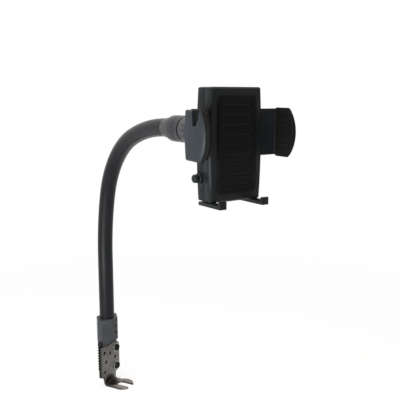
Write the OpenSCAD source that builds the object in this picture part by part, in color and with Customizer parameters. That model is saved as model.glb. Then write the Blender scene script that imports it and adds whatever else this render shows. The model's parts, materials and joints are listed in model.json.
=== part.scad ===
// Phone mount that bolts to a seat rail: a forked steel foot, a gooseneck,
// a ball joint and a spring cradle with two sliding jaws and two feet.
// Millimetres, +Z up. The origin is the middle of the round end of the fork's
// bolt slot, on the fork's underside. The cradle faces -Y.

/* [Foot] */
// Turn of the forked foot about the upright axis, in degrees
foot_turn = 30; // [0:5:60]
// Thickness of the folded steel foot
steel_t = 2.5; // [2:0.25:3]
// Width of the bolt slot between the prongs
slot_w = 10.2; // [8.6:0.2:11]
// Outer diameter of the round fork
fork_d = 24.4; // [23:0.2:26]
// Reach of the prongs past the slot's round end
prong_reach = 13; // [11:0.2:13.2]
// Width of the perforated plate
plate_w = 35.6; // [34:0.2:38]
// Height of the plate's top edge
plate_top = 49.2; // [48:0.2:50]
// Radius of the two rounded lobes and of the bolt washers' seats
lobe_r = 7.6; // [7:0.1:8]
// Diameter of the adjusting holes
adjust_hole = 4.4; // [4:0.2:5]
// Distance between the pivot bolt and the lock bolt
bolt_gap = 23.1; // [22:0.1:24]

/* [Neck] */
// Outer diameter of the neck's sleeve
neck_d = 17.4; // [16:0.2:18]
// Diameter of the flexible core inside it
core_d = 11; // [9:0.5:12]
// Straight length above the socket block
neck_rise = 74.8; // [60:0.2:120]
// Radius of the first, gentle bend
bend_r1 = 277; // [240:1:320]
// Angle of the first bend, in degrees
bend_a1 = 15.3; // [10:0.1:20]
// Radius of the tight bend
bend_r2 = 106.5; // [90:0.5:130]
// Angle of the tight bend, in degrees
bend_a2 = 55.1; // [50:0.1:60]
// Radius of the last bend, which ends level
bend_r3 = 205; // [150:1:240]

/* [Socket block] */
// Width of the block along the plate
block_w = 30.4; // [28:0.2:32]
// Depth of the block across the plate
block_d = 23.4; // [22.6:0.2:26]
// Height of the block
block_h = 32.4; // [30:0.2:34]

/* [Ball joint] */
// Diameter of the ball
ball_d = 18; // [17:0.5:19]
// Outer diameter of the clamping nut
nut_d = 25; // [24.6:0.2:27]
// Number of grip grooves round the nut
nut_grooves = 16; // [12:1:20]

/* [Cradle] */
// Width of the cradle body
body_w = 52.4; // [51:0.2:53]
// Height of the cradle body
body_h = 91; // [88:1:96]
// Depth of the cradle body
body_d = 21; // [20.6:0.2:22]
// How far the body's sides bulge at mid height
body_bulge = 1.6; // [1:0.1:2]
// Wall thickness of the body's shells
wall = 1.8; // [1.6:0.1:2]
// Gap between the jaw pads as shown
jaw_gap = 83.2; // [80:0.2:86]
// Height of a jaw
jaw_h = 40.4; // [38:0.2:42]
// Reach of a jaw in front of the body
jaw_reach = 22.4; // [20:0.2:24]
// Distance of each foot from the middle
foot_x = 21.2; // [20:0.2:21.6]
// Length of a foot from back to front
foot_len = 29.9; // [26:0.1:32]

/* [Hidden] */
$fn = 64;
touch = 0.01;
run_fit = 0.05;

// Foot, in the foot's own frame: u along the plate, n out along the prongs
stem_u = 2.1;
stem_n = -20;
plate_face = stem_n + 5.6;
plate_back = plate_face - steel_t;
plate_left = stem_u - 19.6;
plate_right = plate_left + plate_w;
bend_r = steel_t + 2;
ring_n = 2.3;
root_left = -11.8;
root_right = 9.4;
tab_left = stem_u - 15.2;
tab_right = stem_u + 7.8;
tab_bottom = 12;
pivot_u = plate_right - lobe_r;
pivot_z = 18.1;
lock_z = pivot_z + bolt_gap;
tooth_pitch = 3.4;
tooth_depth = 1.9;
tooth_count = 10;
tooth_start = 20.6;
bar_t = 4.4;
bar_left = stem_u - 17.4;
bar_right = stem_u + 14.4;
bar_bottom = 10.5;
bar_top = 55.5;
bolt_d = 5;
washer_r = 5.2;
head_r = 4.1;

// Socket block
block_flat_w = 9.8;
block_flat_d = 5.8;
block_bottom = 49.4;
block_top = block_bottom + block_h;
block_cut = 5.4;

// Neck path in the upright plane of the stem: distance forward and height
neck_x = stem_u * cos(foot_turn) + stem_n * sin(foot_turn);
neck_y = stem_u * sin(foot_turn) - stem_n * cos(foot_turn);
bend_a3 = 90 - bend_a1 - bend_a2;
a2_end = bend_a1 + bend_a2;
z1 = block_top + neck_rise;
y1 = neck_y;
cy1 = y1 - bend_r1;
cz1 = z1;
y2 = cy1 + bend_r1 * cos(bend_a1);
z2 = cz1 + bend_r1 * sin(bend_a1);
cy2 = y2 - bend_r2 * cos(bend_a1);
cz2 = z2 - bend_r2 * sin(bend_a1);
y3 = cy2 + bend_r2 * cos(a2_end);
z3 = cz2 + bend_r2 * sin(a2_end);
cy3 = y3 - bend_r3 * cos(a2_end);
cz3 = z3 - bend_r3 * sin(a2_end);
y4 = cy3;
z4 = cz3 + bend_r3;
neck_foot = 24;
neck_tail = 21;
lap = 1;
joint_step = 0.03;

// Cradle frame: x to the right, y back from the front face, z up from the middle
grip_z = 8.9;
ball_y = 46;
tail_y = 107;
cradle_x = neck_x;
cradle_y = y4 - tail_y;
cradle_z = z4 - grip_z;

split_y = 8.2;
body_r = 4;
edge_front = 1.6;
edge_back = 2.6;
arm_t = 2.6;
arm_y_left = 2.2;
arm_y_right = 5.2;
arm_half = 19.2;
jaw_x = jaw_gap / 2;
jaw_t = 4.0;
jaw_pad_t = 1.8;
jaw_back = 7.8;
jaw_lean = 4.2;
jaw_edge = 1.8;
lip_t = 2.2;
lip_in = 2;
arm_root = 16.5;
rail_end = 9.3;
rack_pitch = 3.14159;
pinion_r = 5;
pinion_teeth = 10;
backlash = 0.12;
pin_r = 1.5;
button_y = 14.6;
button_z = -26.7;
cup_screw_r = 2;
pawl_x = -4;
pawl_z = -17;
ratchet_x = -23;
ratchet_pitch = 1.8;
stud_r = 4;
boss_d = 34;
screw_x = 17.6;
screw_zs = [39, -36.5];
foot_bar_w = 6.5;
foot_bar_t = 2.8;
foot_under = -49.1;
foot_front = -11.4;
foot_stem_x = 19.6;
foot_travel = 10;
pad_t = 1.0;

module at_foot() {
    rotate([0, 0, foot_turn]) children();
}

// An outline drawn as (u, z) becomes a plate between two places along n
module facing(n_back, n_front) {
    translate([0, -n_back, 0]) rotate([90, 0, 0]) linear_extrude(n_front - n_back) children();
}

module at_cradle() {
    translate([cradle_x, cradle_y, cradle_z]) children();
}

// An outline drawn as (x, z) becomes a plate between two depths
module upright(front, back) {
    translate([0, back, 0]) rotate([90, 0, 0]) linear_extrude(back - front) children();
}

// A revolved profile drawn as (radius, depth) about the grip axis
module turned_y() {
    translate([0, 0, grip_z]) rotate([-90, 0, 0]) rotate_extrude() children();
}

module rod_y(r, front, back, x = 0, z = 0) {
    translate([x, front, z]) rotate([-90, 0, 0]) cylinder(r = r, h = back - front);
}

module rod_x(r, left, right, y = 0, z = 0) {
    translate([left, y, z]) rotate([0, 90, 0]) cylinder(r = r, h = right - left);
}

module round_rect(w, h, r) {
    square([w - 2 * r, h], center = true);
    square([w, h - 2 * r], center = true);
    for (sx = [-1, 1], sz = [-1, 1]) translate([sx * (w / 2 - r), sz * (h / 2 - r)]) circle(r = r);
}

// Foot parts

module plate_outline() {
    polygon([[root_left, bend_r], [root_right, bend_r], [tab_right, tab_bottom - 2], [tab_right, tab_bottom + 1],
        [tab_left, tab_bottom + 1], [tab_left, tab_bottom - 2]]);
    translate([plate_left, tab_bottom]) square([plate_w - lobe_r, plate_top - tab_bottom]);
    translate([plate_left, pivot_z]) square([plate_w, bolt_gap]);
    for (z = [pivot_z, lock_z]) translate([pivot_u, z]) circle(r = lobe_r);
}

module fork_outline() {
    difference() {
        union() {
            translate([root_left, plate_back + bend_r]) square([root_right - root_left, -plate_back - bend_r]);
            translate([0, ring_n]) circle(d = fork_d);
        }
        circle(d = slot_w);
        translate([-slot_w / 2, 0]) square([slot_w, fork_d]);
        translate([-fork_d, prong_reach]) square([2 * fork_d, fork_d]);
    }
}

// The quarter bend between the upright plate and the fork
module fold() {
    y = -plate_back - bend_r;
    intersection() {
        rotate([0, 90, 0]) translate([-bend_r, y, root_left]) difference() {
            cylinder(r = bend_r, h = root_right - root_left);
            translate([0, 0, -1]) cylinder(r = bend_r - steel_t, h = fork_d);
        }
        translate([-fork_d, y, 0]) cube([2 * fork_d, bend_r + 1, bend_r]);
    }
}

// Adjusting holes: an arc about the pivot bolt, and two more on the lock bolt's side
module adjust_holes() {
    for (a = [120 : 30 : 180]) {
        translate([pivot_u + bolt_gap * cos(a), pivot_z + bolt_gap * sin(a)]) circle(d = adjust_hole);
    }
    translate([pivot_u - 1.2, pivot_z + bolt_gap / 2]) circle(d = adjust_hole);
    translate([pivot_u - bolt_gap, lock_z + 0.6]) circle(d = adjust_hole);
}

module foot_plate() {
    color([0.60, 0.58, 0.56]) at_foot() union() {
        difference() {
            facing(plate_back, plate_face) plate_outline();
            facing(plate_back - 1, plate_face + 1) {
                for (z = [pivot_z, lock_z]) translate([pivot_u, z]) circle(d = bolt_d);
                adjust_holes();
            }
        }
        fold();
        mirror([0, 1, 0]) linear_extrude(steel_t) fork_outline();
    }
}

module toothed_plate() {
    color([0.07, 0.07, 0.08]) at_foot() difference() {
        facing(plate_back - bar_t, plate_back) {
            translate([bar_left, bar_bottom]) square([bar_right - bar_left, bar_top - bar_bottom]);
            for (i = [0 : tooth_count - 1]) {
                z = tooth_start + i * tooth_pitch;
                polygon([[bar_left + 1, z + 2.8], [bar_left, z + 2.8], [bar_left - tooth_depth, z + 1.7],
                    [bar_left - tooth_depth, z + 1.1], [bar_left, z], [bar_left + 1, z]]);
            }
        }
        facing(plate_back - bar_t - 1, plate_back + 1)
            for (z = [pivot_z, lock_z]) translate([pivot_u, z]) circle(d = bolt_d);
    }
}

module bracket_bolts() {
    color([0.10, 0.10, 0.11]) at_foot() for (z = [pivot_z, lock_z]) translate([pivot_u, 0, z]) {
        difference() {
            rotate([90, 0, 0]) translate([0, 0, plate_face + 1]) cylinder(r = head_r, h = 2.4);
            rotate([90, 0, 0]) translate([0, 0, plate_face + 1.8]) cylinder(r = 2.2, h = 3, $fn = 6);
        }
        rotate([90, 0, 0]) translate([0, 0, plate_back - bar_t - 5]) {
            cylinder(d = bolt_d, h = steel_t + bar_t + 6);
        }
    }
}

module bracket_washers() {
    color([0.55, 0.56, 0.52]) at_foot() for (z = [pivot_z, lock_z]) translate([pivot_u, 0, z]) {
        rotate([90, 0, 0]) difference() {
            translate([0, 0, plate_face]) cylinder(r = washer_r, h = 1);
            translate([0, 0, plate_face - 1]) cylinder(d = bolt_d, h = 3);
        }
    }
}

module bracket_nuts() {
    color([0.35, 0.35, 0.35]) at_foot() for (z = [pivot_z, lock_z]) translate([pivot_u, 0, z]) {
        rotate([90, 0, 0]) difference() {
            translate([0, 0, plate_back - bar_t - 4]) cylinder(r = 4.6, h = 4, $fn = 6);
            translate([0, 0, plate_back - bar_t - 5]) cylinder(d = bolt_d, h = 6);
        }
    }
}

// Neck parts

module block_section() {
    w = block_w / 2;
    d = block_d / 2;
    fw = block_flat_w / 2;
    fd = block_flat_d / 2;
    polygon([[-fw, -d], [fw, -d], [w, -fd], [w, fd], [fw, d], [-fw, d], [-w, fd], [-w, -fd]]);
}

// The block seen from its side, with its lower edges cut away at front and back
module block_side() {
    d = block_d / 2 + touch;
    polygon([[-d, block_h + 1], [-d, block_cut], [-4, 0], [8, 0], [d, block_cut], [d, block_h + 1]]);
}

module neck_socket() {
    color([0.20, 0.20, 0.21]) at_foot() difference() {
        translate([stem_u, -stem_n, block_bottom]) intersection() {
            linear_extrude(block_h) block_section();
            translate([-block_w, 0, 0]) rotate([90, 0, 90]) linear_extrude(2 * block_w) block_side();
        }
        translate([stem_u, -stem_n, block_top - neck_foot]) cylinder(d = neck_d, h = neck_foot + 1);
        facing(plate_back - bar_t, plate_back)
            translate([bar_left, block_bottom - 1]) square([bar_right - bar_left, bar_top - block_bottom + 1]);
        for (z = [block_bottom + 15.6, block_bottom + 23.2]) {
            translate([stem_u, -stem_n, z]) rotate([90, 0, 0]) cylinder(r = 1.6, h = block_d);
        }
    }
}

module socket_screws() {
    color([0.12, 0.12, 0.12]) at_foot()
        for (z = [block_bottom + 15.6, block_bottom + 23.2]) {
            translate([stem_u, -stem_n, z]) rotate([90, 0, 0]) difference() {
                translate([0, 0, neck_d / 2 + 0.1]) cylinder(r = 1.6, h = 2.6);
                translate([0, 0, neck_d / 2 + 1.6]) cylinder(r = 0.8, h = 3, $fn = 6);
            }
        }
}

// The neck's round section swept along its straights and three bends. The first and
// last bends are a hair thinner, and reach a little way into what they meet.
module bent_rod(d, lead) {
    thin = d - 2 * joint_step;
    translate([neck_x, neck_y, block_top - lead]) cylinder(d = d, h = neck_rise + lead);
    bend(cy1, cz1, bend_r1, 0, bend_a1, thin, lap);
    bend(cy2, cz2, bend_r2, bend_a1, a2_end, d, 0);
    bend(cy3, cz3, bend_r3, a2_end, 90, thin, lap);
    translate([neck_x, y4, z4]) rotate([90, 0, 0]) cylinder(d = d, h = neck_tail);
}

module bend(cy, cz, r, from, to, d, over) {
    more = over / r * 180 / PI;
    translate([neck_x, cy, cz]) rotate([90, 0, 90]) rotate([0, 0, from - more])
        rotate_extrude(angle = to - from + 2 * more, $fn = 180) translate([r, 0]) circle(d = d, $fn = 48);
}

module neck_core() {
    color([0.45, 0.45, 0.46]) difference() {
        bent_rod(core_d, neck_foot);
        at_cradle() rod_y(cup_screw_r, 85, 97, 0, grip_z);
    }
}

module neck_sleeve() {
    color([0.16, 0.16, 0.17]) difference() {
        bent_rod(neck_d, neck_foot);
        bent_rod(core_d, neck_foot);
    }
}

module neck_ferrule() {
    color([0.25, 0.26, 0.28]) at_cradle() turned_y() difference() {
        polygon([[0, 78], [12.1, 78], [12.1, 93.2], [10.3, 94.6], [9.2, tail_y], [0, tail_y]]);
        translate([0, 86]) square([neck_d / 2, 30]);
        translate([0, 77]) square([6.5, 10]);
    }
}

// Ball joint parts

module ball_cup() {
    color([0.15, 0.15, 0.16]) at_cradle() difference() {
        turned_y() difference() {
            polygon([[0, 43], [10.2, 43], [11, 46], [11, 72.2], [12.2, 72.2], [12.2, 77.9],
                [6.5, 77.9], [6.5, 85.9], [0, 85.9]]);
            translate([0, ball_y]) circle(r = ball_d / 2 + run_fit);
            translate([-20, 30]) square([20, 60]);
            translate([0, 50]) square([4.3, 10.05]);
            translate([0, 50]) square([cup_screw_r, 40]);
        }
        for (a = [0 : 60 : 120]) {
            translate([0, 0, grip_z]) rotate([0, a + 30, 0]) translate([-0.5, 42, -15]) cube([1, 8, 30]);
        }
    }
}

module ring_nut() {
    color([0.14, 0.14, 0.15]) at_cradle() difference() {
        turned_y() difference() {
            polygon([[9.3, 41], [nut_d / 2 - 1.6, 41], [nut_d / 2, 43], [nut_d / 2, 69.8],
                [nut_d / 2 - 1, 71.6], [11.05, 71.6], [11.05, 46], [10.25, 43], [9.3, 42.6]]);
        }
        for (i = [0 : nut_grooves - 1]) {
            a = i * 360 / nut_grooves;
            rod_y(1.1, 44.5, 56, (nut_d / 2 + 0.5) * cos(a), grip_z + (nut_d / 2 + 0.5) * sin(a));
        }
    }
}

// The screw that holds the cup to the neck's core
module cup_screw() {
    color([0.20, 0.20, 0.21]) at_cradle() turned_y() difference() {
        cup_shank = cup_screw_r - run_fit;
        polygon([[0, 57.4], [3.2, 57.4], [4, 58.4], [4, 60.05], [cup_shank, 60.05], [cup_shank, 96], [0, 96]]);
        translate([0, 57]) square([1.5, 1.6]);
    }
}

module ball() {
    color([0.30, 0.30, 0.30]) at_cradle() difference() {
        translate([0, ball_y, grip_z]) rotate([90, 0, 0]) sphere(d = ball_d);
        rod_y(20, 30, 38.1, 0, grip_z);
        rod_y(3, 30, 49, 0, grip_z);
    }
}

module ball_stud() {
    color([0.55, 0.55, 0.56]) at_cradle() union() {
        rod_y(10, body_d + run_fit, 25.7, 0, grip_z);
        rod_y(stud_r, 25, 38, 0, grip_z);
        rod_y(3 - run_fit, 37, 48.7, 0, grip_z);
    }
}

module stud_nut() {
    color([0.50, 0.50, 0.50]) at_cradle() difference() {
        translate([0, 28.3, grip_z]) rotate([-90, 0, 0]) cylinder(r = 7.5, h = 4.8, $fn = 6);
        rod_y(stud_r + run_fit, 27, 35, 0, grip_z);
    }
}

module ball_plate() {
    color([0.13, 0.13, 0.14]) at_cradle() difference() {
        turned_y() polygon([[stud_r + run_fit, body_d], [boss_d / 2, body_d], [boss_d / 2, 23], [16.4, 23.6],
            [13.4, 24.4], [12.2, 26.6], [11.2, 28], [stud_r + run_fit, 28]]);
        rod_y(10.1, body_d - 1, 25.8, 0, grip_z);
        for (a = [90, 210, 330]) {
            rod_y(1.2, 20, 30, 14.4 * cos(a), grip_z + 14.4 * sin(a));
            rod_y(2.2, 22.8, 30, 14.4 * cos(a), grip_z + 14.4 * sin(a));
        }
    }
}

module plate_screws() {
    color([0.20, 0.20, 0.20]) at_cradle()
        for (a = [90, 210, 330]) translate([14.4 * cos(a), 0, grip_z + 14.4 * sin(a)]) difference() {
            union() {
                rod_y(1.2, body_d - 4, 23, 0, 0);
                rod_y(2.1, 22.8, 24, 0, 0);
            }
            rod_y(0.8, 23.3, 25, 0, 0);
        }
}

// Cradle shells

module body_outline(inset = 0) {
    side_r = (pow(body_h / 2, 2) + pow(body_bulge, 2)) / (2 * body_bulge);
    intersection() {
        round_rect(body_w - 2 * inset, body_h - 2 * inset, max(body_r - inset, 1));
        translate([side_r - body_w / 2 + inset, 0]) circle(r = side_r, $fn = 720);
        translate([body_w / 2 - side_r - inset, 0]) circle(r = side_r, $fn = 720);
    }
}

module arm_slots() {
    for (side = [-1, 1]) {
        translate([side * body_w / 2 - 4, arm_y_left - 0.3, grip_z - arm_half - 0.3])
            cube([8, split_y - arm_y_left + 1.3, 2 * arm_half + 0.6]);
    }
}

module front_housing() {
    color([0.17, 0.17, 0.18]) at_cradle() difference() {
        union() {
            difference() {
                hull() {
                    upright(0, touch) body_outline(edge_front);
                    upright(edge_front, split_y) body_outline();
                }
                upright(wall, split_y + 1) body_outline(wall);
            }
            for (side = [-1, 1], z = screw_zs) rod_y(2.9, wall - touch, split_y - 0.1, side * screw_x, z);
            rod_y(3, wall - touch, arm_y_left - 0.1, 0, grip_z);
            rod_y(3, wall - touch, arm_y_left - 0.1, pawl_x, pawl_z);
        }
        for (side = [-1, 1], z = screw_zs) rod_y(1.2, 3, split_y + 1, side * screw_x, z);
        rod_y(pin_r, 1, split_y, 0, grip_z);
        rod_y(1.2, 1, split_y, pawl_x, pawl_z);
        arm_slots();
    }
}

module rear_housing() {
    color([0.15, 0.15, 0.16]) at_cradle() difference() {
        union() {
            difference() {
                hull() {
                    upright(split_y, body_d - edge_back) body_outline();
                    upright(body_d - touch, body_d) body_outline(edge_back);
                }
                upright(split_y - 1, body_d - wall) body_outline(wall);
            }
            for (side = [-1, 1], z = screw_zs) rod_y(3.2, split_y, body_d - 1, side * screw_x, z);
            rod_y(4.5, 11.4, body_d - 1, 0, grip_z);
            rod_y(3, 18.2, body_d - 1, pawl_x, pawl_z);
            translate([-14, 10.4, button_z - 4.2]) cube([1.6, body_d - 11, 8.4]);
        }
        for (side = [-1, 1], z = screw_zs) {
            rod_y(1.4, 0, 30, side * screw_x, z);
            rod_y(2.7, body_d - 2.2, 30, side * screw_x, z);
        }
        for (a = [90, 210, 330]) rod_y(1.2, body_d - 4, 30, 14.4 * cos(a), grip_z + 14.4 * sin(a));
        rod_y(pin_r, 5, 18, 0, grip_z);
        rod_y(1.2, 5, 19.6, pawl_x, pawl_z);
        rod_x(4.4, -30, -18, button_y, button_z);
        rod_x(2.1, -20, -10, button_y, button_z);
        for (side = [-1, 1]) {
            translate([side * (foot_stem_x - foot_travel / 2) - foot_travel / 2 - 1.7, 9.2, -body_h / 2 - 1])
                cube([foot_travel + 3.4, 3.6, 4]);
        }
    }
}

module front_pad() {
    color([0.10, 0.10, 0.11]) at_cradle() {
        upright(-pad_t, 0) difference() {
            round_rect(38, 78, 4);
            for (i = [-4 : 4]) translate([0, i * 8]) square([30, 1.2], center = true);
        }
    }
}

module cover_screws() {
    color([0.22, 0.22, 0.22]) at_cradle()
        for (side = [-1, 1], z = screw_zs) translate([side * screw_x, 0, z]) difference() {
            union() {
                rod_y(1.2, 3.2, body_d - 2, 0, 0);
                rod_y(2.6, body_d - 2.2, body_d - 0.6, 0, 0);
            }
            rod_y(0.9, body_d - 1.4, body_d, 0, 0);
        }
}

// Jaws and arms

module jaw_outline(inset = 0) {
    front_r = (pow(18.5, 2) + pow(6.3, 2)) / 12.6;
    back_r = 146;
    edge = inset / 2;
    intersection() {
        translate([-jaw_reach - 2, -jaw_h / 2 + edge])
            square([jaw_reach + 2 + jaw_back - edge, jaw_h - 2 * edge]);
        translate([front_r - jaw_reach, 0]) circle(r = front_r - inset, $fn = 96);
        translate([jaw_back - back_r, 0]) circle(r = back_r - edge, $fn = 360);
        polygon([[-40, 40], [jaw_back, 40], [jaw_back, -jaw_h / 2 + 1.6], [jaw_back - 12, -jaw_h / 2 - 0.4],
            [-40, -jaw_h / 2 - 6]]);
    }
}

// An outline drawn as (y, z) becomes a plate between two places along x
module sideways(left, right) {
    translate([left, 0, grip_z]) rotate([90, 0, 90]) linear_extrude(right - left) children();
}

module jaw_notch() {
    top = jaw_h / 2 + 1;
    polygon([[-13.2, top], [-12.9, 12.5], [-9.4, 7.3], [-5.1, 7.3], [-3.8, top]]);
}

module jaw_shell() {
    difference() {
        hull() {
            sideways(-jaw_x - jaw_t, -jaw_x - jaw_t + touch) jaw_outline(jaw_lean);
            sideways(-jaw_x - jaw_pad_t - 0.8, -jaw_x - jaw_pad_t) jaw_outline(jaw_edge);
        }
        sideways(-jaw_x - jaw_t - 1, -jaw_x) jaw_notch();
    }
}

module pad_outline(inset) {
    intersection() {
        jaw_outline(inset);
        translate([-jaw_reach, -jaw_h]) square([jaw_reach + arm_y_left - 0.8, 2 * jaw_h]);
    }
}

// The rubber pad wraps round the jaw's front edge and has a lip there
module jaw_pad() {
    hull() {
        sideways(-jaw_x - jaw_pad_t, -jaw_x - jaw_pad_t + touch) pad_outline(jaw_edge + 0.2);
        sideways(-jaw_x - touch, -jaw_x) pad_outline(0.2);
    }
    for (i = [-3 : 3]) {
        sideways(-jaw_x - touch, -jaw_x + 0.7) intersection() {
            pad_outline(1);
            translate([-16, i * 5 - 0.8]) square([14, 1.6]);
        }
    }
    sideways(-jaw_x - touch, -jaw_x + lip_in) difference() {
        jaw_outline(0.2);
        translate([lip_t, 0]) jaw_outline(0.2);
        translate([-16.6, -30]) square([40, 60]);
    }
}

// Rack teeth have flanks at 20 degrees; the height is measured from the pinion's axis
rack_tip = pinion_r - 0.85;
rack_root = pinion_r + 1.3;
function rack_half(h) = (rack_pitch / 2 - backlash) / 2 + (h - pinion_r) * tan(20);
function rack_tooth(x) = [[x - rack_half(rack_root), rack_root + touch], [x - rack_half(rack_tip), rack_tip],
    [x + rack_half(rack_tip), rack_tip], [x + rack_half(rack_root), rack_root + touch]];

// The left arm: rack rail above the pinion, ratchet rail below it
module left_arm() {
    color([0.19, 0.20, 0.21]) at_cradle() {
        jaw_shell();
        translate([0, 0, grip_z]) upright(arm_y_left, arm_y_left + arm_t) difference() {
            union() {
                translate([-jaw_x - jaw_pad_t - touch, -arm_half])
                    square([jaw_x + jaw_pad_t + touch - arm_root, 2 * arm_half]);
                translate([-arm_root - touch, rack_root])
                    square([arm_root + rail_end, arm_half - rack_root]);
                translate([-arm_root - touch, -arm_half]) square([arm_root + rail_end, 10]);
                for (i = [-5 : 2]) polygon(rack_tooth((i + 0.5) * rack_pitch));
            }
            for (i = [0 : 9]) {
                x = ratchet_x + i * ratchet_pitch;
                polygon([[x, -arm_half - touch], [x, -arm_half + 1.2], [x + ratchet_pitch, -arm_half - touch]]);
            }
        }
    }
}

module right_arm() {
    color([0.19, 0.20, 0.21]) at_cradle() {
        mirror([1, 0, 0]) jaw_shell();
        translate([0, 0, grip_z]) upright(arm_y_right, arm_y_right + arm_t) rotate(180) {
            translate([-jaw_x - jaw_pad_t - touch, -arm_half])
                square([jaw_x + jaw_pad_t + touch - arm_root, 2 * arm_half]);
            translate([-arm_root - touch, rack_root])
                square([arm_root + rail_end, arm_half - rack_root]);
            for (i = [-5 : 2]) polygon(rack_tooth((i + 0.5) * rack_pitch));
        }
    }
}

module left_jaw_pad() {
    color([0.06, 0.06, 0.06]) at_cradle() jaw_pad();
}

module right_jaw_pad() {
    color([0.06, 0.06, 0.06]) at_cradle() mirror([1, 0, 0]) jaw_pad();
}

// Pinion tooth flanks follow an involute, thinned by the backlash
function inv(a) = tan(a) * 180 / PI - a;
function flank(r, base_r) = let (a = acos(min(1, base_r / r))) inv(a);

module drive_pinion() {
    base_r = pinion_r * cos(20);
    half_at_pitch = 90 / pinion_teeth - backlash / pinion_r * 180 / PI / 2;
    half_base = half_at_pitch + inv(20);
    radii = [base_r, 4.95, 5.25, 5.55, 5.8];
    color([0.75, 0.74, 0.70]) at_cradle() difference() {
        union() {
            translate([0, 0, grip_z]) upright(arm_y_left, arm_y_right + arm_t) {
                circle(r = 3.9);
                for (i = [0 : pinion_teeth - 1]) rotate(90 + i * 360 / pinion_teeth) {
                    polygon(concat([[3.4, -0.95]],
                        [for (r = radii) let (a = half_base - flank(r, base_r)) [r * cos(a), -r * sin(a)]],
                        [for (k = [4 : -1 : 0]) let (r = radii[k], a = half_base - flank(r, base_r))
                            [r * cos(a), r * sin(a)]],
                        [[3.4, 0.95]]));
                }
            }
            rod_y(3.2, arm_y_right + arm_t - touch, 11.2, 0, grip_z);
        }
        rod_y(pin_r + run_fit, 0, 20, 0, grip_z);
    }
}

module pinion_pin() {
    color([0.70, 0.70, 0.72]) at_cradle() rod_y(pin_r, 1.1, 17.9, 0, grip_z);
}

// Torsion spring round the pinion's hub, drawn as closed turns joined by a short rod
module arm_spring() {
    color([0.65, 0.65, 0.66]) at_cradle() union() {
        for (i = [0 : 2]) {
            translate([0, 8.7 + i * 0.95, grip_z]) rotate([90, 0, 0]) rotate_extrude()
                translate([4.1, 0]) circle(r = 0.45, $fn = 16);
        }
        rod_y(0.3, 8.5, 10.8, 4.1, grip_z);
        translate([-4.1, 10.6, grip_z - 6]) cylinder(r = 0.3, h = 6, $fn = 16);
    }
}

// Release button and latch

module release_button() {
    color([0.05, 0.05, 0.05]) at_cradle() translate([0, button_y, button_z]) rotate([0, 90, 0]) {
        rotate_extrude() polygon([[0, -32.2], [2.6, -32.1], [3.3, -31.4], [3.5, -30.6], [3.5, -27.6],
            [4.3, -27.4], [4.3, -23.9], [2, -23.9], [2, -5.9], [0, -5.9]]);
    }
}

module button_spring() {
    color([0.65, 0.65, 0.66]) at_cradle() union() {
        for (i = [0 : 8]) {
            translate([-23.4 + i * 1.1, button_y, button_z]) rotate([0, 90, 0]) rotate_extrude()
                translate([2.7, 0]) circle(r = 0.4, $fn = 16);
        }
        rod_x(0.3, -23.7, -14.1, button_y + 2.9, button_z);
    }
}

module latch_pawl() {
    color([0.80, 0.80, 0.76]) at_cradle() difference() {
        union() {
            rod_y(2.6, arm_y_left, 18, pawl_x, pawl_z);
            translate([pawl_x, 0, pawl_z]) upright(arm_y_left, arm_y_left + arm_t)
                polygon([[0, 2.4], [-7.6, 4.2], [-9.3, 6.4], [-9.75, 6.4], [-9.75, 3.2], [-1.5, -2.2]]);
            translate([pawl_x, 0, pawl_z]) upright(13, 17.6)
                polygon([[-1.6, 0], [-1.6, -12.2], [1.4, -12.2], [2, 0]]);
        }
        rod_y(1.2 + run_fit, 0, 20, pawl_x, pawl_z);
    }
}

module pawl_pin() {
    color([0.70, 0.70, 0.72]) at_cradle() rod_y(1.2, 1.1, 19.5, pawl_x, pawl_z);
}

// Feet under the phone

module foot_bar(side) {
    x = side * foot_x;
    sx = side * foot_stem_x;
    translate([x - foot_bar_w / 2, foot_front, foot_under]) {
        difference() {
            cube([foot_bar_w, foot_len, foot_bar_t]);
            translate([foot_bar_w / 2 - 1, 3, -1]) cube([2, foot_len - 6, 1.9]);
        }
        cube([foot_bar_w, 2.6, 6.2]);
    }
    translate([sx - 1.5, 9.5, foot_under + foot_bar_t - touch]) cube([3, 3, -foot_under - foot_bar_t - 43.3]);
    translate([sx - 1.8, 8.4, -43.5]) cube([3.6, 5.2, 1.8]);
}

module foot_pad(side) {
    translate([side * foot_x - 2.6, foot_front + 2.6, foot_under + foot_bar_t]) {
        cube([5.2, 14, 0.7]);
        cube([5.2, 0.8, 3.2]);
    }
}

module left_foot() {
    color([0.09, 0.09, 0.09]) at_cradle() foot_bar(-1);
}

module right_foot() {
    color([0.09, 0.09, 0.09]) at_cradle() foot_bar(1);
}

module left_foot_pad() {
    color([0.16, 0.16, 0.16]) at_cradle() foot_pad(-1);
}

module right_foot_pad() {
    color([0.16, 0.16, 0.16]) at_cradle() foot_pad(1);
}

foot_plate();
toothed_plate();
bracket_bolts();
bracket_nuts();
bracket_washers();
neck_socket();
socket_screws();
neck_core();
neck_sleeve();
neck_ferrule();
cup_screw();
ball_cup();
ring_nut();
ball();
stud_nut();
ball_stud();
ball_plate();
plate_screws();
rear_housing();
front_housing();
front_pad();
cover_screws();
left_arm();
right_arm();
left_jaw_pad();
right_jaw_pad();
drive_pinion();
pinion_pin();
arm_spring();
release_button();
button_spring();
latch_pawl();
pawl_pin();
left_foot();
right_foot();
left_foot_pad();
right_foot_pad();
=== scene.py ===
# Seat rail phone mount: finishes, fine parts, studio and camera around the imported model
import bpy
import bmesh
import json
import math
from mathutils import Matrix, Vector


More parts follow.
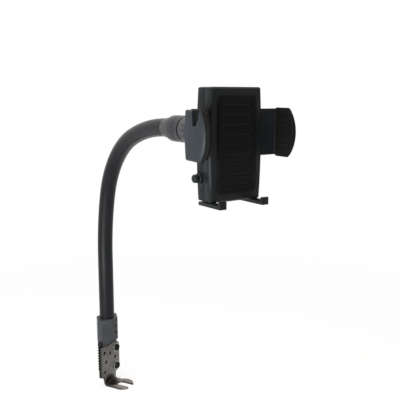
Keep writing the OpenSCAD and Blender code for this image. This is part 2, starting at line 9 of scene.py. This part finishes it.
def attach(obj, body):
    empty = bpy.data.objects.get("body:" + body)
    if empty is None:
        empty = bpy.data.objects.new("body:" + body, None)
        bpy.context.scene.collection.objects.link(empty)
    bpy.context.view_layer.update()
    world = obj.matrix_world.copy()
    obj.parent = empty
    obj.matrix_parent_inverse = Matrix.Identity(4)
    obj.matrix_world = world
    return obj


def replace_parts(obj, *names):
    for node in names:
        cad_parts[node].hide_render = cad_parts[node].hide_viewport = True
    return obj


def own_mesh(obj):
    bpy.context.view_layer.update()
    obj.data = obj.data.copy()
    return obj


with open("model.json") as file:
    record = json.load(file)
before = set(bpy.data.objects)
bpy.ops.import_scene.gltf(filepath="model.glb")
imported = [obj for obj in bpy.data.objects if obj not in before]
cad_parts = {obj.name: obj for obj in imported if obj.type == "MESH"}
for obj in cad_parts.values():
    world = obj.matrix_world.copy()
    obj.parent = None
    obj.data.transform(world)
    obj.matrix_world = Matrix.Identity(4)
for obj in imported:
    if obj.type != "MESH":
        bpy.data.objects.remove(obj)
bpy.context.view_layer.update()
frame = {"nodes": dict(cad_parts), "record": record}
print("frame loaded,", len(frame["nodes"]), "nodes")

# where the cradle's own frame lies in the row frame, in metres
cradleAt = Vector((-0.008181, -0.234213, 0.304888))
# the foot plate's turn about the upright, and the ball joint's height in the cradle's frame in millimetres
footTurn = math.radians(30)
gripHeight = 8.9


def inCradle(x, y, z):
    return cradleAt + Vector((x, y, z)) * 0.001


def inFoot(u, n, z):
    # u along the foot plate, n out along the prongs, in millimetres
    x = u * math.cos(footTurn) + n * math.sin(footTurn)
    y = u * math.sin(footTurn) - n * math.cos(footTurn)
    return Vector((x, y, z)) * 0.001


def alongFoot(u, n, z):
    # a part drawn along +Z lies along the prongs' direction
    turned = Matrix.Rotation(footTurn, 4, "Z") @ Matrix.Rotation(math.radians(90), 4, "X")
    return Matrix.Translation(inFoot(u, n, z)) @ turned


def alongBack(x, y, z):
    # a part drawn along +Z lies along +Y, away from the cradle's front
    return Matrix.Translation(inCradle(x, y, z)) @ Matrix.Rotation(math.radians(-90), 4, "X")


def alongFront(x, y, z):
    return Matrix.Translation(inCradle(x, y, z)) @ Matrix.Rotation(math.radians(90), 4, "X")


# ---- finishes

finishes = {
    "bracketSteel": {
        "color": (0.165, 0.151, 0.139), "metal": 0.3, "rough": 0.46, "spec": 0.3,
        "grain": 700, "stretch": (1, 1, 0.08), "bump": 0.12, "vary": 0.2, "scuff": 0.2,
        "shadePatches": [
            # painted shade in the fold between the plate and the prongs
            {"at": inFoot(-4, -13.5, 1.5), "core": 0.0100, "edge": 0.0145, "ragged": 0.003, "strength": 1.0,
             "color": (0.004, 0.003, 0.002)},
            # painted shade over the upper plate, which is made darker than the lower plate
            {"at": inFoot(-6, -15, 48), "core": 0.003, "edge": 0.034, "ragged": 0.008, "strength": 0.60,
             "color": (0.045, 0.040, 0.036)},
        ],
        # painted shade darkens the sheet's cut edges and hole walls
        "edgeShade": {"faces": [(0.5, -0.866, 0), (0, 0, 1)], "strength": 0.9, "color": (0.018, 0.016, 0.014)}},
    "blackSteel": {
        "color": (0.006, 0.006, 0.0062), "metal": 0.0, "rough": 0.42, "spec": 0.1,
        "grain": 1500, "bump": 0.12, "vary": 0.25, "scuff": 0.12},
    "zinc": {
        "color": (0.36, 0.36, 0.34), "metal": 0.85, "rough": 0.36, "spec": 0.5,
        "grain": 1200, "bump": 0.08, "vary": 0.2, "scuff": 0.15},
    "socketPaint": {
        "color": (0.031, 0.033, 0.036), "metal": 0.0, "rough": 0.36, "spec": 0.18,
        "grain": 1100, "bump": 0.14, "vary": 0.18, "scuff": 0.22},
    "coreSteel": {
        "color": (0.35, 0.35, 0.35), "metal": 0.9, "rough": 0.45, "spec": 0.5,
        "grain": 700, "bump": 0.1, "vary": 0.2, "scuff": 0.1},
    "neckRubber": {
        "color": (0.005, 0.0054, 0.0066), "metal": 0.0, "rough": 0.3, "spec": 0.17,
        "grain": 1800, "bump": 0.05, "vary": 0.12, "scuff": 0.03},
    "ferrulePlastic": {
        "color": (0.012, 0.0126, 0.0142), "metal": 0.0, "rough": 0.3, "spec": 0.3,
        "grain": 1800, "bump": 0.1, "vary": 0.14, "scuff": 0.04},
    "blackPlastic": {
        "color": (0.0075, 0.0085, 0.0092), "metal": 0.0, "rough": 0.4, "spec": 0.12,
        "grain": 2200, "bump": 0.16, "vary": 0.2, "scuff": 0.08},
    "greyPlastic": {
        "color": (0.0165, 0.0195, 0.0232), "metal": 0.0, "rough": 0.42, "spec": 0.12,
        "grain": 2200, "bump": 0.16, "vary": 0.12, "scuff": 0.08},
    "whitePlastic": {
        "color": (0.62, 0.61, 0.57), "metal": 0.0, "rough": 0.4, "spec": 0.4,
        "grain": 1500, "bump": 0.08, "vary": 0.08, "scuff": 0.05},
    "padRubber": {
        "color": (0.006, 0.006, 0.0056), "metal": 0.0, "rough": 0.62, "spec": 0.05,
        "grain": 2600, "bump": 0.24, "vary": 0.2, "scuff": 0.05},
    "springSteel": {
        "color": (0.5, 0.5, 0.5), "metal": 1.0, "rough": 0.28, "spec": 0.5,
        "grain": 1500, "bump": 0.05, "vary": 0.12, "scuff": 0.05},
}


def addShadePatch(tree, coords, below, shadePatch):
    # painted shade: a dark patch that fades out round one point
    apart = tree.nodes.new("ShaderNodeVectorMath")
    apart.operation = "DISTANCE"
    apart.inputs[1].default_value = shadePatch["at"]
    tree.links.new(coords.outputs["Object"], apart.inputs[0])
    cloud = tree.nodes.new("ShaderNodeTexNoise")
    cloud.inputs["Scale"].default_value = 160
    tree.links.new(coords.outputs["Object"], cloud.inputs["Vector"])
    ragged = tree.nodes.new("ShaderNodeMath")
    ragged.operation = "MULTIPLY_ADD"
    ragged.inputs[1].default_value = shadePatch["ragged"]
    tree.links.new(cloud.outputs["Fac"], ragged.inputs[0])
    tree.links.new(apart.outputs["Value"], ragged.inputs[2])
    fade = tree.nodes.new("ShaderNodeMapRange")
    fade.interpolation_type = "SMOOTHSTEP"
    fade.inputs["From Min"].default_value = shadePatch["core"]
    fade.inputs["From Max"].default_value = shadePatch["edge"]
    fade.inputs["To Min"].default_value = shadePatch["strength"]
    fade.inputs["To Max"].default_value = 0
    tree.links.new(ragged.outputs["Value"], fade.inputs["Value"])
    over = tree.nodes.new("ShaderNodeMix")
    over.data_type = "RGBA"
    over.inputs["B"].default_value = (*shadePatch["color"], 1)
    tree.links.new(fade.outputs["Result"], over.inputs["Factor"])
    tree.links.new(below.outputs["Result"], over.inputs["A"])
    return over


def addEdgeShade(tree, coords, below, sheet):
    # painted shade on the edges and hole walls of cut sheet, where the surface faces along none of the sheet's
    # own directions
    nearest = None
    for direction in sheet["faces"]:
        along = tree.nodes.new("ShaderNodeVectorMath")
        along.operation = "DOT_PRODUCT"
        along.inputs[1].default_value = direction
        tree.links.new(coords.outputs["Normal"], along.inputs[0])
        size = tree.nodes.new("ShaderNodeMath")
        size.operation = "ABSOLUTE"
        tree.links.new(along.outputs["Value"], size.inputs[0])
        if nearest:
            larger = tree.nodes.new("ShaderNodeMath")
            larger.operation = "MAXIMUM"
            tree.links.new(nearest.outputs["Value"], larger.inputs[0])
            tree.links.new(size.outputs["Value"], larger.inputs[1])
            size = larger
        nearest = size
    fade = tree.nodes.new("ShaderNodeMapRange")
    fade.inputs["From Min"].default_value = 0.35
    fade.inputs["From Max"].default_value = 0.65
    fade.inputs["To Min"].default_value = sheet["strength"]
    fade.inputs["To Max"].default_value = 0
    tree.links.new(nearest.outputs["Value"], fade.inputs["Value"])
    over = tree.nodes.new("ShaderNodeMix")
    over.data_type = "RGBA"
    over.inputs["B"].default_value = (*sheet["color"], 1)
    tree.links.new(fade.outputs["Result"], over.inputs["Factor"])
    tree.links.new(below.outputs["Result"], over.inputs["A"])
    return over


# what all finishes share: sizes of the slow drift and of the rubbed places, and the depth of the grain
shared = {"driftScale": 55, "rubScale": 210, "rubFrom": 0.58, "rubTo": 0.72, "roughSpread": 0.06,
          "grainDepth": 0.0002}


def makeFinish(name, look):
    material = bpy.data.materials.new(name)
    material.use_nodes = True
    tree = material.node_tree
    shader = tree.nodes["Principled BSDF"]
    shader.inputs["Metallic"].default_value = look["metal"]
    shader.inputs["Specular IOR Level"].default_value = look["spec"]
    coords = tree.nodes.new("ShaderNodeTexCoord")
    stretch = tree.nodes.new("ShaderNodeMapping")
    stretch.inputs["Scale"].default_value = look.get("stretch", (1, 1, 1))
    tree.links.new(coords.outputs["Object"], stretch.inputs["Vector"])
    # slow drift of the colour
    drift = tree.nodes.new("ShaderNodeTexNoise")
    drift.inputs["Scale"].default_value = shared["driftScale"]
    drift.inputs["Detail"].default_value = 4
    tree.links.new(coords.outputs["Object"], drift.inputs["Vector"])
    tint = tree.nodes.new("ShaderNodeValToRGB")
    low = 1 - look["vary"]
    tint.color_ramp.elements[0].position = 0.3
    tint.color_ramp.elements[0].color = (*[c * low for c in look["color"]], 1)
    tint.color_ramp.elements[1].position = 0.7
    tint.color_ramp.elements[1].color = (*[min(1, c * (2 - low)) for c in look["color"]], 1)
    tree.links.new(drift.outputs["Fac"], tint.inputs["Fac"])
    # small rubbed places, a little lighter and drier
    rub = tree.nodes.new("ShaderNodeTexNoise")
    rub.inputs["Scale"].default_value = shared["rubScale"]
    rub.inputs["Detail"].default_value = 8
    rub.inputs["Roughness"].default_value = 0.72
    tree.links.new(stretch.outputs["Vector"], rub.inputs["Vector"])
    rubbed = tree.nodes.new("ShaderNodeMapRange")
    rubbed.inputs["From Min"].default_value = shared["rubFrom"]
    rubbed.inputs["From Max"].default_value = shared["rubTo"]
    rubbed.inputs["To Max"].default_value = look["scuff"]
    tree.links.new(rub.outputs["Fac"], rubbed.inputs["Value"])
    blend = tree.nodes.new("ShaderNodeMix")
    blend.data_type = "RGBA"
    blend.inputs["B"].default_value = (*[min(1, 0.03 + c * 1.5) for c in look["color"]], 1)
    tree.links.new(rubbed.outputs["Result"], blend.inputs["Factor"])
    tree.links.new(tint.outputs["Color"], blend.inputs["A"])
    colored = blend
    # painted shade patches: the fold and the upper plate are darkened here
    for shadePatch in look.get("shadePatches", []):
        colored = addShadePatch(tree, coords, colored, shadePatch)
    # painted shade on the cut edges
    if "edgeShade" in look:
        colored = addEdgeShade(tree, coords, colored, look["edgeShade"])
    tree.links.new(colored.outputs["Result"], shader.inputs["Base Color"])
    # fine grain in the roughness and the surface
    grain = tree.nodes.new("ShaderNodeTexNoise")
    grain.inputs["Scale"].default_value = look["grain"]
    grain.inputs["Detail"].default_value = 3
    tree.links.new(stretch.outputs["Vector"], grain.inputs["Vector"])
    rough = tree.nodes.new("ShaderNodeMapRange")
    rough.inputs["To Min"].default_value = look["rough"] - shared["roughSpread"]
    rough.inputs["To Max"].default_value = look["rough"] + shared["roughSpread"]
    tree.links.new(grain.outputs["Fac"], rough.inputs["Value"])
    tree.links.new(rough.outputs["Result"], shader.inputs["Roughness"])
    bump = tree.nodes.new("ShaderNodeBump")
    bump.inputs["Strength"].default_value = look["bump"]
    bump.inputs["Distance"].default_value = shared["grainDepth"]
    tree.links.new(grain.outputs["Fac"], bump.inputs["Height"])
    tree.links.new(bump.outputs["Normal"], shader.inputs["Normal"])
    return material


made = {name: makeFinish(name, look) for name, look in finishes.items()}

dress = {
    "foot_plate": "bracketSteel", "toothed_plate": "blackSteel", "bracket_bolts": "blackSteel",
    "bracket_nuts": "zinc", "bracket_washers": "zinc", "neck_socket": "socketPaint",
    "socket_screws": "blackSteel", "neck_core": "coreSteel", "neck_sleeve": "neckRubber",
    "neck_ferrule": "ferrulePlastic", "cup_screw": "blackSteel", "ball_cup": "ferrulePlastic",
    "ring_nut": "ferrulePlastic", "ball": "blackPlastic", "stud_nut": "zinc", "ball_stud": "zinc",
    "ball_plate": "blackPlastic",
    "plate_screws": "blackSteel", "rear_housing": "blackPlastic", "front_housing": "blackPlastic",
    "front_pad": "padRubber", "cover_screws": "blackSteel", "left_arm": "greyPlastic",
    "right_arm": "greyPlastic", "left_jaw_pad": "padRubber", "right_jaw_pad": "padRubber",
    "drive_pinion": "whitePlastic", "pinion_pin": "springSteel", "arm_spring": "springSteel",
    "release_button": "blackPlastic", "button_spring": "springSteel", "latch_pawl": "whitePlastic",
    "pawl_pin": "springSteel", "left_foot": "blackPlastic", "right_foot": "blackPlastic",
    "left_foot_pad": "padRubber", "right_foot_pad": "padRubber",
}
for node, finish in dress.items():
    obj = frame["nodes"][node]
    obj.data.materials.clear()
    obj.data.materials.append(made[finish])
print("finishes on", len(dress), "nodes")


# ---- helpers for new pieces

def bodyOf(node):
    return next(b for b, nodes in frame["record"]["behaviour"]["bodies"].items() if node in nodes)


sharpAngle = math.radians(32)


def finishPiece(name, bm, finish, node):
    mesh = bpy.data.meshes.new(name)
    bmesh.ops.recalc_face_normals(bm, faces=bm.faces)
    bm.to_mesh(mesh)
    bm.free()
    mesh.shade_smooth()
    mesh.set_sharp_from_angle(angle=sharpAngle)
    mesh.materials.append(made[finish])
    obj = bpy.data.objects.new(name, mesh)
    bpy.context.scene.collection.objects.link(obj)
    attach(obj, bodyOf(node))
    return obj


# a copy of a CAD node with its sharp edges broken
softEdges = {
    "foot_plate": 0.0002, "toothed_plate": 0.00025, "neck_socket": 0.0005, "neck_ferrule": 0.0004,
    "ring_nut": 0.0003, "left_arm": 0.00035, "right_arm": 0.00035,
    "left_jaw_pad": 0.0003, "right_jaw_pad": 0.0003, "front_pad": 0.0003, "ball_plate": 0.0002,
    "front_housing": 0.0002, "rear_housing": 0.0002, "left_foot": 0.0003, "right_foot": 0.0003,
    "left_foot_pad": 0.00015, "right_foot_pad": 0.00015,
    "release_button": 0.0002, "bracket_washers": 0.00015,
}


def softCopy(node, width):
    source = frame["nodes"][node]
    bm = bmesh.new()
    bm.from_mesh(source.data)
    bmesh.ops.remove_doubles(bm, verts=bm.verts, dist=0.000002)
    bmesh.ops.dissolve_limit(bm, angle_limit=math.radians(0.6), verts=bm.verts, edges=bm.edges)
    mesh = bpy.data.meshes.new(node + "_soft")
    bm.to_mesh(mesh)
    bm.free()
    mesh.materials.append(made[dress[node]])
    obj = bpy.data.objects.new(node + "_soft", mesh)
    bpy.context.scene.collection.objects.link(obj)
    edge = obj.modifiers.new("edge", "BEVEL")
    edge.width = width
    edge.segments = 2
    edge.limit_method = "ANGLE"
    edge.angle_limit = math.radians(35)
    edge.use_clamp_overlap = True
    edge.harden_normals = True
    mesh.shade_smooth()
    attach(obj, bodyOf(node))
    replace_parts(obj, node)
    return obj


for node, width in softEdges.items():
    softCopy(node, width)
print("edges broken on", len(softEdges), "nodes")


# ---- screws, bolts and nuts, each drawn as rings along +Z

def ringShape(shape, angle, radius):
    if shape == "hex":
        return radius / math.cos((angle + math.radians(30)) % math.radians(60) - math.radians(30))
    if shape == "cross":
        fold = abs((angle + math.radians(45)) % math.radians(90) - math.radians(45))
        return min(radius / math.cos(fold), 0.3 * radius / max(math.sin(fold), 0.001))
    return radius


def ringStack(bm, rings, steps=48, closed=False):
    loop = bmesh.ops.create_circle(bm, cap_ends=False, segments=steps, radius=1)["verts"]
    edges = list({e for v in loop for e in v.link_edges})
    grown = list(loop)
    for index, (shape, radius, height) in enumerate(rings):
        if index:
            step = bmesh.ops.extrude_edge_only(bm, edges=edges)["geom"]
            loop = [g for g in step if isinstance(g, bmesh.types.BMVert)]
            edges = [g for g in step if isinstance(g, bmesh.types.BMEdge) and all(v in loop for v in g.verts)]
            grown += loop
        for v in loop:
            angle = math.atan2(v.co.y, v.co.x)
            reach = ringShape(shape, angle, radius)
            v.co = (reach * math.cos(angle), reach * math.sin(angle), height)
    if closed:
        bmesh.ops.remove_doubles(bm, verts=grown, dist=0.001)
    else:
        bmesh.ops.holes_fill(bm, edges=[e for e in bm.edges if e.is_boundary], sides=0)
    return grown


def thread(radius, start, end, pitch):
    # closed ridges stand for the thread
    rings = []
    for i in range(int((end - start) / pitch)):
        rings += [("round", radius - 0.3 * pitch, start + i * pitch),
                  ("round", radius, start + (i + 0.5) * pitch)]
    return rings + [("round", radius - 0.3 * pitch, end)]


def addFastener(bm, rings, place, closed=False):
    verts = ringStack(bm, rings, closed=closed)
    verts = [v for v in verts if v.is_valid]
    bmesh.ops.scale(bm, verts=verts, vec=(0.001, 0.001, 0.001))
    bmesh.ops.transform(bm, matrix=place, verts=verts)


bracketBolt = {"u": 10.5, "heights": (18.1, 41.2), "shank": 2.5, "tip": -12.9, "threadFrom": -12.5,
               "threadTo": -5.3, "pitch": 0.8, "head": 4.1, "headBack": -13.4, "headHigh": 2.4,
               "keyWide": 2.5, "key": 1.9, "keyDeep": 1.5}
bm = bmesh.new()
for z in bracketBolt["heights"]:
    shank, head, top = bracketBolt["shank"], bracketBolt["head"], bracketBolt["headHigh"]
    rings = [("round", shank - 0.5, bracketBolt["tip"])]
    rings += thread(shank, bracketBolt["threadFrom"], bracketBolt["threadTo"], bracketBolt["pitch"])
    rings += [("round", shank, bracketBolt["threadTo"] + 0.2), ("round", shank, 0), ("round", head - 0.2, 0),
              ("round", head, 0.25), ("round", head, top - 0.8), ("round", head - 0.3, top - 0.25),
              ("round", head - 0.9, top), ("round", bracketBolt["keyWide"], top),
              ("hex", bracketBolt["key"], top - 0.15),
              ("hex", bracketBolt["key"], top - bracketBolt["keyDeep"]),
              ("round", 0.6, top - bracketBolt["keyDeep"] - 0.25)]
    addFastener(bm, rings, alongFoot(bracketBolt["u"], bracketBolt["headBack"], z))
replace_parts(finishPiece("bracket_bolts_turned", bm, "blackSteel", "bracket_bolts"), "bracket_bolts")


def nutRings(nut):
    flats, high, bore, edge, slope = nut["flats"], nut["high"], nut["bore"], nut["edge"], nut["slope"]
    return [("round", bore, edge), ("round", bore + edge, 0), ("round", flats - 0.1, 0), ("hex", flats, slope),
            ("hex", flats, high - slope), ("round", flats - 0.1, high), ("round", bore + edge, high),
            ("round", bore, high - edge), ("round", bore, edge)]


bracketNut = {"flats": 3.98, "back": -25.3, "high": 4.0, "bore": 2.55, "edge": 0.4, "slope": 0.45}
bm = bmesh.new()
for z in bracketBolt["heights"]:
    addFastener(bm, nutRings(bracketNut), alongFoot(bracketBolt["u"], bracketNut["back"], z), closed=True)
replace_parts(finishPiece("bracket_nuts_chamfered", bm, "zinc", "bracket_nuts"), "bracket_nuts")

socketScrew = {"u": 2.1, "heights": (65.0, 72.6), "radius": 1.58, "back": -11.1, "long": 2.88,
               "key": 0.75, "keyDeep": 1.2}
bm = bmesh.new()
for z in socketScrew["heights"]:
    radius, long, key = socketScrew["radius"], socketScrew["long"], socketScrew["key"]
    rings = [("round", radius - 0.3, 0), ("round", radius, 0.3), ("round", radius, long - 0.25),
             ("round", radius - 0.25, long), ("hex", key, long), ("hex", key, long - socketScrew["keyDeep"]),
             ("round", 0.2, long - socketScrew["keyDeep"] - 0.15)]
    addFastener(bm, rings, alongFoot(socketScrew["u"], socketScrew["back"], z))
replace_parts(finishPiece("socket_screws_keyed", bm, "blackSteel", "socket_screws"), "socket_screws")

coverScrew = {"node": "cover_screws", "places": [(x, z) for x in (-17.6, 17.6) for z in (39, -36.5)],
              "shank": 1.2, "from": 3.2, "headAt": 18.8, "head": 2.6, "top": 20.4, "key": 1.35}
plateRing = {"radius": 14.4, "angles": [math.radians(a) for a in (90, 210, 330)]}
plateScrew = {"node": "plate_screws",
              "places": [(plateRing["radius"] * math.cos(a), gripHeight + plateRing["radius"] * math.sin(a))
                         for a in plateRing["angles"]],
              "shank": 1.2, "from": 17, "headAt": 22.8, "head": 2.1, "top": 24, "key": 1.1}
for screw in (coverScrew, plateScrew):
    bm = bmesh.new()
    for x, z in screw["places"]:
        head, key = screw["head"], screw["key"]
        high = screw["top"] - screw["headAt"]
        long = screw["headAt"] - screw["from"]
        rings = [("round", 0.5, -long), ("round", 0.8, 0.7 - long)]
        rings += thread(screw["shank"], 1.0 - long, -0.3, 0.7)
        rings += [("round", screw["shank"], 0), ("round", head, 0), ("round", head, 0.35 * high),
                  ("round", head * 0.93, 0.68 * high), ("round", head * 0.72, 0.92 * high),
                  ("round", head * 0.56, high), ("cross", key, high), ("cross", key * 0.8, 0.35 * high),
                  ("round", 0.2, 0.2 * high)]
        addFastener(bm, rings, alongBack(x, screw["headAt"], z))
    node = screw["node"]
    name = node + "_crossed"
    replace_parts(finishPiece(name, bm, "blackSteel", node), node)

studNut = {"flats": 6.49, "at": 28.3, "high": 4.8, "bore": 4.05, "edge": 0.5, "slope": 0.7}
bm = bmesh.new()
addFastener(bm, nutRings(studNut), alongBack(0, studNut["at"], gripHeight), closed=True)
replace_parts(finishPiece("stud_nut_chamfered", bm, "zinc", "stud_nut"), "stud_nut")

ballStud = {"flange": 10, "flangeFrom": 21.05, "flangeTo": 25.7, "radius": 4, "threadTo": 36.5,
            "neck": 2.95, "neckFrom": 38, "tip": 48.7}
bm = bmesh.new()
flange, start, face, tip = ballStud["flange"], ballStud["flangeFrom"], ballStud["flangeTo"], ballStud["tip"]
rings = [("round", flange - 0.3, start), ("round", flange, start + 0.3), ("round", flange, face - 0.3),
         ("round", flange - 0.3, face), ("round", ballStud["radius"], face)]
rings += thread(ballStud["radius"], face + 0.5, ballStud["threadTo"], 1.0)
rings += [("round", 3.9, 37), ("round", 3.7, ballStud["neckFrom"]),
          ("round", ballStud["neck"], ballStud["neckFrom"]), ("round", ballStud["neck"], tip - 0.4),
          ("round", ballStud["neck"] - 0.4, tip)]
addFastener(bm, rings, alongBack(0, 0, gripHeight))
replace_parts(finishPiece("ball_stud_threaded", bm, "zinc", "ball_stud"), "ball_stud")

cupScrew = {"head": 4, "face": 57.4, "seat": 60.05, "shank": 1.95, "threadFrom": 78, "threadTo": 95.4,
            "tip": 96, "key": 1.45, "keyDeep": 1.1}
bm = bmesh.new()
head, face, seat, shank, key = (cupScrew[k] for k in ("head", "face", "seat", "shank", "key"))
rings = [("round", 1.3, -cupScrew["tip"])]
rings += thread(shank, -cupScrew["threadTo"], -cupScrew["threadFrom"], 0.7)
rings += [("round", shank, 1 - cupScrew["threadFrom"]), ("round", shank, -seat), ("round", head, -seat),
          ("round", head, -face - 1.1), ("round", head - 0.4, -face - 0.4), ("round", head - 1, -face),
          ("hex", key, -face), ("hex", key, -face - cupScrew["keyDeep"]),
          ("round", 0.3, -face - cupScrew["keyDeep"] - 0.1)]
addFastener(bm, rings, alongFront(0, 0, gripHeight))
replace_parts(finishPiece("cup_screw_keyed", bm, "blackSteel", "cup_screw"), "cup_screw")
print("fasteners made")


# ---- springs

def coil(bm, radius, wire, turns, pitch, stepsPerTurn=28, sides=8):
    ring = bmesh.ops.create_circle(bm, cap_ends=False, segments=sides, radius=wire)["verts"]
    bmesh.ops.rotate(bm, verts=ring, cent=(0, 0, 0), matrix=Matrix.Rotation(math.radians(90), 3, "X"))
    bmesh.ops.translate(bm, verts=ring, vec=(radius, 0, 0))
    edges = list({e for v in ring for e in v.link_edges})
    start = bmesh.ops.duplicate(bm, geom=ring + edges)["geom"]
    steps = int(turns * stepsPerTurn)
    bmesh.ops.spin(bm, geom=ring + edges, cent=(0, 0, 0), axis=(0, 0, 1), dvec=(0, 0, pitch / stepsPerTurn),
                   angle=turns * 2 * math.pi, steps=steps, use_merge=False)
    bmesh.ops.delete(bm, geom=[g for g in start if isinstance(g, bmesh.types.BMVert)], context="VERTS")
    bmesh.ops.holes_fill(bm, edges=[e for e in bm.edges if e.is_boundary], sides=sides)


armSpring = {"radius": 0.0041, "wire": 0.00045, "turns": 2.9, "pitch": 0.00098}
bm = bmesh.new()
coil(bm, **armSpring)
place = Matrix.Translation(inCradle(0, 8.72, gripHeight)) @ Matrix.Rotation(math.radians(-90), 4, "X")
bmesh.ops.transform(bm, matrix=place, verts=bm.verts)
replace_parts(finishPiece("arm_torsion_spring", bm, "springSteel", "arm_spring"), "arm_spring")

buttonSpring = {"radius": 0.0027, "wire": 0.0004, "turns": 8, "pitch": 0.00108}
bm = bmesh.new()
coil(bm, **buttonSpring)
place = Matrix.Translation(inCradle(-23.36, 14.6, -26.7)) @ Matrix.Rotation(math.radians(90), 4, "Y")
bmesh.ops.transform(bm, matrix=place, verts=bm.verts)
spring = finishPiece("button_return_spring", bm, "springSteel", "button_spring")
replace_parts(spring, "button_spring")
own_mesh(spring)
print("springs wound")


# ---- studio

def plane(name, size, height):
    bm = bmesh.new()
    bmesh.ops.create_grid(bm, x_segments=1, y_segments=1, size=size)
    bmesh.ops.translate(bm, verts=bm.verts, vec=(0, 0, height))
    mesh = bpy.data.meshes.new(name)
    bm.to_mesh(mesh)
    bm.free()
    obj = bpy.data.objects.new(name, mesh)
    bpy.context.scene.collection.objects.link(obj)
    return obj


def raysToWhite(tree):
    # 1 for the rays that see plain white surroundings: camera, mirror and transmission rays
    rays = tree.nodes.new("ShaderNodeLightPath")
    glossy = tree.nodes.new("ShaderNodeMath")
    glossy.operation = "ADD"
    seen = tree.nodes.new("ShaderNodeMath")
    seen.operation = "ADD"
    seen.use_clamp = True
    tree.links.new(rays.outputs["Is Glossy Ray"], glossy.inputs[0])
    tree.links.new(rays.outputs["Is Transmission Ray"], glossy.inputs[1])
    tree.links.new(rays.outputs["Is Camera Ray"], seen.inputs[0])
    tree.links.new(glossy.outputs[0], seen.inputs[1])
    return seen


# near the part the floor glows a little less, so that its shadow shows
floorLook = {"size": 6, "height": -0.0003, "color": (0.80, 0.80, 0.80, 1), "rough": 0.9, "middle": (0, -0.1, 0),
             "near": 0.25, "far": 0.8, "nearShare": 0.82}
floor = plane("floor", floorLook["size"], floorLook["height"])
floorPaint = bpy.data.materials.new("floorPaint")
floorPaint.use_nodes = True
tree = floorPaint.node_tree
diffuse = tree.nodes["Principled BSDF"]
diffuse.inputs["Base Color"].default_value = floorLook["color"]
diffuse.inputs["Roughness"].default_value = floorLook["rough"]
glow = tree.nodes.new("ShaderNodeEmission")
glow.inputs["Color"].default_value = (1, 1, 1, 1)
glow.inputs["Strength"].default_value = 1.0
coords = tree.nodes.new("ShaderNodeTexCoord")
apart = tree.nodes.new("ShaderNodeVectorMath")
apart.operation = "DISTANCE"
apart.inputs[1].default_value = floorLook["middle"]
fade = tree.nodes.new("ShaderNodeMapRange")
fade.inputs["From Min"].default_value = floorLook["near"]
fade.inputs["From Max"].default_value = floorLook["far"]
fade.inputs["To Min"].default_value = floorLook["nearShare"]
share = tree.nodes.new("ShaderNodeMath")
share.operation = "MULTIPLY"
mixer = tree.nodes.new("ShaderNodeMixShader")
tree.links.new(coords.outputs["Object"], apart.inputs[0])
tree.links.new(apart.outputs["Value"], fade.inputs["Value"])
tree.links.new(raysToWhite(tree).outputs[0], share.inputs[0])
tree.links.new(fade.outputs["Result"], share.inputs[1])
tree.links.new(share.outputs[0], mixer.inputs["Fac"])
tree.links.new(diffuse.outputs["BSDF"], mixer.inputs[1])
tree.links.new(glow.outputs["Emission"], mixer.inputs[2])
tree.links.new(mixer.outputs["Shader"], tree.nodes["Material Output"].inputs["Surface"])
floor.data.materials.append(floorPaint)

roomLight = {"color": (0.95, 0.97, 1.0, 1), "strength": 0.18}
world = bpy.data.worlds.new("studio")
bpy.context.scene.world = world
world.use_nodes = True
tree = world.node_tree
room = tree.nodes["Background"]
room.inputs["Color"].default_value = roomLight["color"]
room.inputs["Strength"].default_value = roomLight["strength"]
white = tree.nodes.new("ShaderNodeBackground")
white.inputs["Color"].default_value = (1, 1, 1, 1)
white.inputs["Strength"].default_value = 1
mixer = tree.nodes.new("ShaderNodeMixShader")
tree.links.new(raysToWhite(tree).outputs[0], mixer.inputs["Fac"])
tree.links.new(room.outputs["Background"], mixer.inputs[1])
tree.links.new(white.outputs["Background"], mixer.inputs[2])
tree.links.new(mixer.outputs["Shader"], tree.nodes["World Output"].inputs["Surface"])

lamps = {
    "topSoft": {"at": (-0.15, -0.1, 1.25), "aim": (0, -0.1, 0.25), "size": (0.7, 0.7),
                "power": 19.0, "color": (1.0, 0.96, 0.91)},
    "leftSoft": {"at": (-0.5, -0.31, 0.17), "aim": (0, 0, 0.14), "size": (0.34, 0.3),
                 "power": 5.0, "color": (0.94, 0.97, 1.0)},
    "rightLow": {"at": (0.9, -0.7, 0.4), "aim": (0, -0.1, 0.2), "size": (0.6, 0.6),
                 "power": 0.8, "color": (1.0, 0.94, 0.87)},
}
for name, lamp in lamps.items():
    data = bpy.data.lights.new(name, "AREA")
    data.shape = "RECTANGLE"
    data.size, data.size_y = lamp["size"]
    data.energy = lamp["power"]
    data.color = lamp["color"]
    obj = bpy.data.objects.new(name, data)
    obj.location = lamp["at"]
    obj.rotation_euler = (Vector(lamp["at"]) - Vector(lamp["aim"])).to_track_quat("Z", "Y").to_euler()
    obj.visible_camera = False
    bpy.context.scene.collection.objects.link(obj)

view = {"lens": 54.9, "sensor": 36, "at": (-0.304489, -0.622550, 0.344362), "turn": (80.2, 0, -33.9)}
camera = bpy.data.cameras.new("camera")
camera.lens = view["lens"]
camera.sensor_width = view["sensor"]
viewer = bpy.data.objects.new("camera", camera)
viewer.location = view["at"]
viewer.rotation_euler = [math.radians(a) for a in view["turn"]]
bpy.context.scene.collection.objects.link(viewer)
bpy.context.scene.camera = viewer
bpy.context.scene.view_settings.view_transform = "Standard"
print("studio and camera set")
